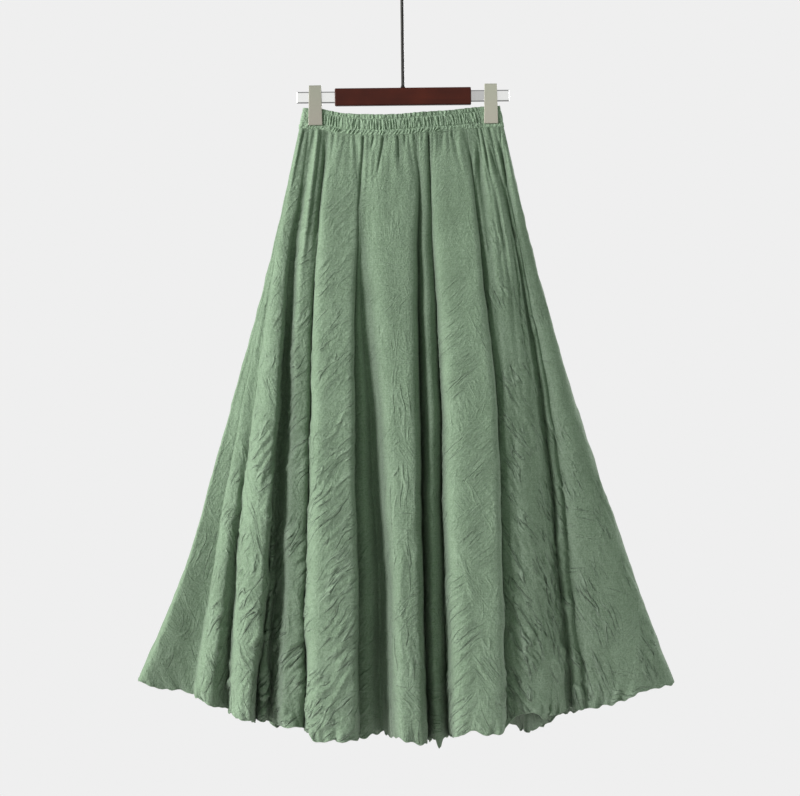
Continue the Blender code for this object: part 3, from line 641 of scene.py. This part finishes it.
frontLook = {
    "seed": 3, "pleats": frontPleats,
    # slow waves of the cloth: depth (m), then amount, pitch across and pitch down of each size
    "wander": 0.0026, "wanderSizes": ((1, 0.055, 0.12), (0.5, 0.03, 0.05)),
    "softWave": 0.0022, "softSizes": ((1, 0.045, 0.16), (0.5, 0.028, 0.07)),
    "gatherPitch": 0.0062, "gatherDepth": 0.0036, "gatherFade": 0.04,
    "longFrom": 0.09, "longPitch": 0.005, "longDepth": 2.9,   # long fine folds right of this place
    "hemFade": 0.013, "hemWave": 0.021, "hemDepth": 0.013, "hemLift": 0.0095,
    # a crease's length and the room between two (m), and their share of the height
    "largeCreases": ((0.15, 0.017, 0.9), (0.075, 0.011, 0.6)), "largeCrumple": 0.0009,
    "smallCreases": ((0.06, 0.008, 1.0), (0.035, 0.006, 0.4)), "smallCrumple": 0.00035,
    # how strong the creases are, by metres below the band
    "crumpleGrowth": ((0.0, 0.15), (0.15, 0.4), (0.35, 1.0), (0.58, 1.5), (0.72, 2.2), (0.85, 2.3)),
}
backLook = dict(frontLook, seed=203, pleats=backPleats)

# Thin round edges sewn on along the cloth's border: the rolled hem and the side seams.
edging = {"hemRadius": 0.0011, "seamRadius": 0.001, "sides": 8}


def sweepPanel(name, folds, hem, side, columns, rows, splits, table, look):
    # The whole panel is worked out, then parted into pieces along columns inside valleys. Each piece
    # gets its length of rolled hem, and its flat size from the arc lengths of its own grid.
    surface, along, down, toHem, place = panelSurface(folds, hem, side, columns, rows, look)
    *weights, strength = creaseWeights(folds, table, place)
    fade = fadeAtSides(columns, 0.012)
    grow = np.interp(down, *zip(*look["crumpleGrowth"])) * strength * fade
    seed = look["seed"] + 100
    amounts = creaseLies(along, down, weights, seed + 9)

    # large crumples move both skins, small creases the outer one alone
    large = crumple(along, down, amounts, seed, look["largeCreases"])
    large = look["largeCrumple"] * (large - large.mean()) * grow * eased(down, 0.005, 0.09)
    surface = surface + outward(surface, side) * large[..., None]
    nearest = fade * skirt["clothThick"] / 2 + skirt["seamGap"] / 2
    surface[..., 1] = side * np.maximum(side * surface[..., 1], nearest)
    normal = outward(surface, side)
    relief = look["smallCrumple"] * crumple(along, down, amounts, seed, look["smallCreases"])
    relief *= grow * eased(toHem, 0.0005, 0.006) * eased(down, 0.003, 0.02)
    lie = together(*amounts) * grow[..., None] / 1.3
    names = [fold.name for fold in folds]
    edges = [int(np.argmin(np.abs(place - names.index(split)))) for split in splits]
    made = []
    for number, (first, last) in enumerate(zip([0] + edges, edges + [columns - 1])):
        cut = slice(first, last + 1)
        parts = [part[:, cut] for part in (surface, normal, relief, along, down, lie)]
        piece = shellPiece(f"{name}{number + 1}", *parts)
        roll = tubeMesh(f"{name}Hem{number + 1}", parts[0][-1], edging["hemRadius"],
                        edging["sides"], cloth)
        width = np.ptp(parts[3], axis=1)
        outStep, downStep = (np.gradient(parts[0][..., axis], axis=0) for axis in (1, 2))
        length = np.ptp(parts[4], axis=0).max() * np.hypot(1.0, outStep / downStep).mean()
        made.append((piece, roll, (float(width.max()), float(length)), float(width.mean() * length)))
    print(name + ":", [len(piece.data.polygons) for piece, *_ in made], "faces")
    return made, surface


frontMade, frontMiddle = sweepPanel("skirtFront", frontFolds, frontHem, -1, 640, 420,
                                    ("leftLine", "darkValley", "rightTurn"), frontCrinkle, frontLook)
backMade, backMiddle = sweepPanel("skirtBack", backFolds, backHem, 1, 360, 270,
                                  ("midValley",), backCrinkle, backLook)

seams = []
frontRows = np.arange(0, len(frontMiddle), 2)
backRows = np.linspace(0, len(backMiddle) - 1, len(frontRows)).round().astype(int)
for name, edge in (("Left", 0), ("Right", -1)):
    path = (frontMiddle[frontRows, edge] + backMiddle[backRows, edge]) / 2
    path[:, 1] = 0
    seams.append(tubeMesh("sideSeam" + name, path, edging["seamRadius"], edging["sides"], cloth))


# The waistband: a ring of doubled cloth over elastic, puckered between two rows of stitching.
band = {
    "columns": 1000, "levels": 38,
    "pucker": 0.0049, "puckerDepth": 0.0016,
    "headerEnd": 0.215, "channelEnd": 0.745,   # shares of the height where the stitching lies
    "pinch": 0.0012, "bulge": 0.0008, "frill": 0.00247, "frillPitch": 0.003, "frillLift": 0.0008,
    "beadPitch": 0.0056, "beadDepth": 0.0031, "wall": 0.0009, "seed": 11,
    "stretch": 1.25,         # how much longer the cloth is than the round of the elastic
}


def bandRing(columns):
    # Plan of the ring at equal steps of arc: across = cos turn, depth = the waist's half depth, drawn
    # in to nothing at both ends as the root of 1 - past^2. Also the way out of the ring and the arc.
    half = skirt["bandHalfBottom"]
    turn = np.linspace(0, 2 * pi, 4001)
    share = np.cos(turn)
    past = ramp(np.abs(share), skirt["roundFrom"], 1)
    depth = waistDepth(share * half) * np.sqrt(1 - past**2) * -np.sign(np.sin(turn))
    travelled = arcLength(together(share * half, depth))
    at = np.arange(columns) * travelled[-1] / columns
    share, depth = np.interp(at, travelled, share), np.interp(at, travelled, depth)
    line = together(share * half, depth)
    step = np.roll(line, -1, axis=0) - np.roll(line, 1, axis=0)
    return share, depth, unit(together(-step[:, 1], step[:, 0])), at


def bandRelief(at, level, share):
    # Header: a fine frill. Channel: a long bulge crossed by upright ridges, 1 - |noise|. Below it a
    # row of slanted beads, flatter to the right. Stitching: two pinches, each exp(-distance^2).
    seed = band["seed"]
    top, low = band["headerEnd"], band["channelEnd"]
    slant = 1.2 * waves(at / 0.035, 0.0, seed) + 0.5
    pucker = np.abs(waves(at / band["pucker"] + slant * (level - 0.48), level, seed + 1))
    pucker = 0.7 - np.minimum(3.4 * pucker, 1.4)
    pucker += 0.9 * waves(at / (band["pucker"] * 0.34), level * 2.0, seed + 2)
    inChannel = eased(level, top, top + 0.06) * (1 - eased(level, low - 0.06, low))
    channel = band["bulge"] * np.sin(pi * ramp(level, top, low)) ** 0.6
    channel = channel + inChannel * band["puckerDepth"] * pucker
    frill = band["frill"] * waves(at / band["frillPitch"], level * 3.0, seed + 3)
    frill *= (1 - eased(level, top - 0.05, top))
    lean = 4.0 + 5 * waves(at / 0.021, 0.9, seed + 8)
    phase = at / band["beadPitch"] + 1.4 * waves(at / 0.011, 0.3, seed + 4) - lean * (level - 0.86)
    bead = (0.5 + 0.5 * np.cos(2 * pi * phase)) ** 1.3
    bead *= (0.75 + 1.1 * waves(at / 0.009, 0.7, seed + 5))
    bead = band["beadDepth"] * bead * (1 - 0.7 * eased(share, 0.36, 0.44))
    inBeads = np.sin(pi * ramp(level, low, 1))
    pinch = np.exp(-((level - top) / 0.035) ** 2) + np.exp(-((level - low) / 0.03) ** 2)
    total = channel + frill + inBeads * (0.0003 + bead) - band["pinch"] * pinch
    clipped = eased(np.abs(share), skirt["flatFrom"] - 0.05, skirt["flatFrom"])
    return np.maximum(total, -0.001) * (1 - 0.66 * clipped)


def waistbandPiece():
    # Levels down the outside, then up the inside: across = share * half width + way out * push.
    share, depth, way, at = bandRing(band["columns"])
    levels = np.linspace(0, 1, band["levels"])[:, None]
    inside = np.array(((1.0,), (0.42,), (0.0,)))
    level = np.vstack((levels, inside))
    push = band["wall"] + bandRelief(at, levels, share)
    push = np.vstack((push, -band["wall"] + 0 * inside * at))
    half = skirt["bandHalfTop"] + (skirt["bandHalfBottom"] - skirt["bandHalfTop"]) * level
    across = share * half + way[:, 0] * push
    lift = band["frillLift"] * waves(at / 0.004, 0.4, band["seed"] + 6) * (1 - eased(level, 0.0, 0.12))
    height = waistLine(across) - level * skirt["bandHeight"] + lift
    grid = together(across, depth + way[:, 1] * push, height)
    uv = together(at, -level * skirt["bandHeight"])
    # the lies give the band upright creases, whose lines also lighten its colour as painted highlight
    return loft("waistbandCloth", grid, bandCloth, uv, ring=True, lie=(0, 0.2, 0.9, 0.2))


waistbandCloth = waistbandPiece()
print("waistband:", len(waistbandCloth.data.polygons), "faces")

# The hanger, turned by the same small tilt as the waist.
hanger = {
    "rodRadius": 0.0023, "hookRadius": 0.022, "tipAngle": 205, "footAngle": -60, "ballShare": 1.35,
    "barLength": 0.194, "barHeight": 0.0248, "barThick": 0.016, "barRound": 0.0025, "barZ": -0.2128,
    "railLength": 0.303, "railHeight": 0.0164, "railThick": 0.005, "railRound": 0.0012,
    "endEase": 0.0016,       # how far the bar and the rail round off at their ends
    "clipX": 0.125, "clipTopZ": -0.1953, "clipWidthTop": 0.0175, "clipWidthBottom": 0.0198,
    "clipRise": 0.0016,      # how far the strip arches over the rail
}
# The rod where it enters the bar: height above the bar (m), share of its radius.
rodCollar = ((-0.003, 1), (0.0002, 1), (0.0004, 1.5), (0.0014, 1.45), (0.0028, 1.12), (0.0045, 1))
# Side view of a clip's jaw: drop below its top, its middle line's distance from the rail's, thickness.
clipJaw = ((0.0022, 0.0034, 0.0012), (0.027, 0.0038, 0.002), (0.033, 0.00515, 0.0021),
           (0.056, 0.00505, 0.0019), (0.057, 0.0049, 0.0012))


def tilted(points):
    # Turned about the y axis through the hook's resting point.
    c, s = cos(skirt["hangTilt"]), sin(skirt["hangTilt"])
    x, y, z = np.moveaxis(points, -1, 0)
    return together(x * c - z * s, y, x * s + z * c)


def roundedOblong(width, height, radius, steps=7):
    # Four quarter circles, each with one more point before and after it. Sizes may be arrays, one
    # section for each value.
    turn = np.linspace(0, pi / 2, steps) + np.arange(4)[:, None] * pi / 2
    arc = together(np.cos(turn), np.sin(turn))
    runOn = 0.6 * together(np.sin(turn), -np.cos(turn))
    arc = np.hstack((arc[:, :1] + runOn[:, :1], arc, arc[:, -1:] - runOn[:, -1:]))
    corner = np.repeat(((1, 1), (-1, 1), (-1, -1), (1, -1)), steps + 2, axis=0)
    size = together(width / 2 - radius, height / 2 - radius)
    return corner * size[..., None, :] + np.array(radius)[..., None, None] * arc.reshape(-1, 2)


def roundedBlock(name, length, section, material):
    # A section in y and z carried along x, which draws in by a quarter circle at both ends.
    ease = hanger["endEase"]
    turn = np.linspace(0, pi / 2, 6)
    fromEnd = ease * np.hstack((0, 1 - np.cos(turn), 2)) - length / 2
    inset = ease * np.hstack((1.4, 1 - np.sin(turn), 0))
    across = np.hstack((fromEnd, -fromEnd[::-1]))
    inset = np.hstack((inset, inset[::-1]))[:, None, None]
    y, z = np.moveaxis(section * (1 - inset / np.abs(section).max(axis=0)), -1, 0)
    return loft(name, tilted(together(across[:, None], y, z + hanger["barZ"])), material)


def hookPiece(material):
    # A straight shaft, a bend of one radius to the right, most of a round the other way and a ball.
    bend = hanger["hookRadius"] + hanger["rodRadius"]
    foot, tip = radians(hanger["footAngle"]), radians(hanger["tipAngle"])
    centreZ = -hanger["hookRadius"]
    barTop = hanger["barZ"] + hanger["barHeight"] / 2

    def arc(turn, centreX, centreZ, share=1.0):
        return together(centreX + bend * np.cos(turn), centreZ + bend * np.sin(turn), share)

    shaft = [(0, barTop + above, share) for above, share in rodCollar]
    lower = arc(np.linspace(pi, pi + foot, 16), bend, centreZ + 2 * sin(foot) * bend)
    upper = arc(np.linspace(foot, tip, 60)[1:], 0, centreZ)
    ball = np.linspace(0.25 * pi, 0.98 * pi, 12)
    turn = tip + 0.12 - hanger["ballShare"] * hanger["rodRadius"] / bend * np.cos(ball)
    end = arc(turn, 0, centreZ, hanger["ballShare"] * np.sin(ball))
    x, z, share = np.vstack((shaft, lower, upper, end)).T
    return tubeMesh("hookRod", tilted(together(x, 0, z)), share * hanger["rodRadius"], 24, material)


def clipPiece(name, centreX, material):
    # A flat strip's rounded section carried up the back jaw, over the rail in half an ellipse and down
    # the front jaw; its width grows evenly with the drop.
    drop, reach, thick = np.array(clipJaw).T
    fine = np.append(np.linspace(drop[0], drop[-2], 40), np.linspace(drop[-2], drop[-1], 4)[1:])
    jaw = together(np.interp(fine, drop, reach), fine, np.interp(fine, drop, thick))
    turn = np.linspace(0, pi, 15)[1:-1]
    over = together(reach[0] * np.cos(turn), drop[0] - hanger["clipRise"] * np.sin(turn), thick[0])
    line = np.vstack((jaw[::-1], over, jaw * (-1, 1, 1)))
    run = unit(np.gradient(line[:, :2], axis=0))
    grow = (hanger["clipWidthBottom"] - hanger["clipWidthTop"]) / drop[-1]
    section = roundedOblong(hanger["clipWidthTop"] + grow * line[:, 1], line[:, 2], 0.3 * line[:, 2], 5)
    y = line[:, :1] + section[..., 1] * run[:, 1:]
    z = hanger["clipTopZ"] - line[:, 1:2] + section[..., 1] * run[:, :1]
    return loft(name, tilted(together(centreX + section[..., 0], y, z)), material)


def woodMaterial():
    # Dark red lacquer over fine grain that runs along the bar, with a broad unevenness of its red.
    add, finish = newMaterial("redBrownLacquer", 0.5)
    grain = objectNoise(add, (9, 160, 260), 1.0, 5.0, Roughness=0.6, Distortion=0.6)
    tone = maths(add, "MULTIPLY_ADD", objectNoise(add, scale=22.0), 1.2, -0.35)
    tone = maths(add, "MULTIPLY_ADD", grain, 0.5, tone)
    colour = twoColours(add, tone, (0.036, 0.0085, 0.007), (0.092, 0.017, 0.01))
    return finish(colour, ((grain, 0.25, 0.0003),), {
        "Coat Weight": 0.05, "Coat Roughness": 0.25, "Specular IOR Level": 0.12})


def railMaterial():
    # Bright plating with lengthwise brushing; painted dark reflections along the two long edges, by
    # height along the rail.
    add, finish = newMaterial("brightPlating", 0.22, 0.9)
    at = add("TexCoord")["Object"]
    turned = add("Mapping", Vector=at, Rotation=(0, skirt["hangTilt"], 0))[0]
    fromMiddle = maths(add, "SUBTRACT", add("SeparateXYZ", Vector=turned)["Z"], hanger["barZ"])
    halfHeight = hanger["railHeight"] / 2
    # painted dark reflections: the colour darkens near the rail's top and bottom edges
    edge = between(add, maths(add, "ABSOLUTE", fromMiddle), halfHeight - 0.0022, halfHeight - 0.001)
    # painted shade to the right of the bar as far as the clip
    across = add("SeparateXYZ", Vector=at)["X"]
    shadeRightOfBar = between(add, across, 0.0, 0.11, 0.0, 0.5, "LINEAR")
    past = between(add, across, hanger["clipX"] - 0.004, hanger["clipX"] + 0.004, 1.0, 0.1, "LINEAR")
    dark = maths(add, "MAXIMUM", edge, maths(add, "MULTIPLY", shadeRightOfBar, past))
    colour = twoColours(add, dark, (0.92, 0.92, 0.91), (0.22, 0.22, 0.22))
    return finish(colour, ((objectNoise(add, (30, 2000, 2000)), 0.2, 0.0001),))


def rodMaterial():
    # Dark bronzed steel with faint mottling.
    add, finish = newMaterial("bronzedSteel", 0.45, 0.15)
    mottle = objectNoise(add, scale=300.0, detail=3.0)
    colour = twoColours(add, mottle, (0.006, 0.0045, 0.0042), (0.014, 0.011, 0.01))
    return finish(colour, others={"Specular IOR Level": 0.3})


def plateMaterial(name, paler):
    # Warm grey satin plate: fine upright brushing, a little rosier towards the jaws' lower end. Paler
    # scales the colour: below 1 a copy darkened as painted shade, above 1 a copy lightened as painted
    # light.
    add, finish = newMaterial(name, 0.45, 0.15)
    height = add("SeparateXYZ", Vector=add("TexCoord")["Object"])["Z"]
    tone = between(add, height, hanger["clipTopZ"] - 0.055, hanger["clipTopZ"], way="LINEAR")
    brushed = objectNoise(add, (1500, 1500, 40), detail=3.0)
    tone = maths(add, "MULTIPLY_ADD", brushed, 0.35, tone)
    colour = twoColours(add, tone, (0.455, 0.395, 0.362), (0.435, 0.41, 0.357), paler)
    return finish(colour, ((brushed, 0.15, 0.0001),))


barSection = roundedOblong(hanger["barThick"], hanger["barHeight"], hanger["barRound"])
woodBar = roundedBlock("woodBar", hanger["barLength"], barSection, woodMaterial())
railSection = roundedOblong(hanger["railThick"], hanger["railHeight"], hanger["railRound"])
flatRail = roundedBlock("flatRail", hanger["railLength"], railSection, railMaterial())
hookRod = hookPiece(rodMaterial())
# the left clip's copy is darkened as painted shade, the right clip's lightened as painted light
clipLeft = clipPiece("clipLeft", -hanger["clipX"], plateMaterial("shadedGreyPlateLeft", 0.86))
clipRight = clipPiece("clipRight", hanger["clipX"], plateMaterial("litGreyPlateRight", 1.1))
print("hanger: bar, rail, hook and two clips")

# Each piece, the CAD part it stands for, which is hidden, and the name of its finish.
for piece, node, finish in (
        (waistbandCloth, "waistband", "cloth"), (woodBar, "hanger_bar", "dark_wood"),
        (flatRail, "hanger_rail", "bright_rail"), (hookRod, "hanger_hook", "dark_rod"),
        (clipLeft, "clip_left", "clip_plate"), (clipRight, "clip_right", "clip_plate")):
    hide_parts(node)
    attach(piece, "root")
for seam in seams:
    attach(seam, "root")
for node, panel in (("skirt_front", frontMade), ("skirt_back", backMade)):
    for number, (piece, roll, flat, area) in enumerate(panel):
        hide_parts(node)
        for part in (piece, roll):
            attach(part, "root")

studio = {
    "background": 0.863, "ambient": 0.265, "ambientTint": (0.8, 1.06, 0.78),
    "cameraAt": (-0.002, -4.5, -0.6418), "frameWidth": 1.1392, "aim": (0, 0, -0.7),
    "floorZ": -1.3, "floorRadius": 0.65, "floorColour": (0.82, 0.725, 0.805, 1),
}


def softLight(name, at, size, power, colour=(1, 1, 1)):
    data = bpy.data.lights.new(name, "AREA")
    data.shape = "SQUARE"
    data.size = size
    data.energy = power
    data.color = colour
    lamp = placed(name, data)
    lamp.location = at
    lamp.rotation_euler = (Vector(studio["aim"]) - Vector(at)).to_track_quat("-Z", "Y").to_euler()


def floorDisc():
    # A thin round slab: its edge's profile, as radius and height, carried round the upright axis.
    add, finish = newMaterial("paleFloor", 0.8)
    bumps = ((objectNoise(add, scale=40.0, detail=4.0), 0.1, 0.001),)
    radius = studio["floorRadius"] - np.array((0.03, 0.004, 0.001, 0, 0, 0.001, 0.004, 0.03))
    height = studio["floorZ"] - np.array((0, 0, 0.001, 0.004, 0.011, 0.014, 0.015, 0.015))
    turn = np.linspace(0, 2 * pi, 97)[:-1]
    x, y = radius[:, None] * np.cos(turn), radius[:, None] * np.sin(turn)
    return loft("floor", together(x, y, height[:, None]), finish(studio["floorColour"], bumps))


floorDisc()
# The camera and reflections see the pale surroundings; the cloth is lit by their dimmer share.
scene.world = bpy.data.worlds.new("paleStudio")
scene.world.use_nodes = True
add, feed = nodeMaker(scene.world.node_tree)
ray = add("LightPath")
seen = maths(add, "MAXIMUM", ray["Is Camera Ray"], ray["Is Glossy Ray"])
strength = between(add, seen, 0.0, 1.0, studio["ambient"], studio["background"], "LINEAR")
feed(scene.world.node_tree.nodes["Background"], {
    "Strength": strength, "Color": twoColours(add, seen, studio["ambientTint"], (1, 1, 1))})
softLight("keyLeft", (-3.3, -2.4, 0.5), 1.0, 140)
softLight("rimLeft", (-3.0, -0.6, -0.3), 1.2, 74, (0.86, 1.0, 0.8))
softLight("rimRight", (3.0, -0.1, -0.4), 1.0, 30)
softLight("behind", (1.8, 3.4, 0.5), 1.4, 110)

cameraData = bpy.data.cameras.new("camera")
cameraData.sensor_fit = "HORIZONTAL"
cameraData.sensor_width = 36
cameraData.lens = 36 * -studio["cameraAt"][1] / studio["frameWidth"]
camera = placed("camera", cameraData)
camera.location = studio["cameraAt"]
camera.rotation_euler = (pi / 2, 0, 0)
scene.camera = camera
scene.view_settings.view_transform = "Standard"
print("studio: floor, lights and camera")
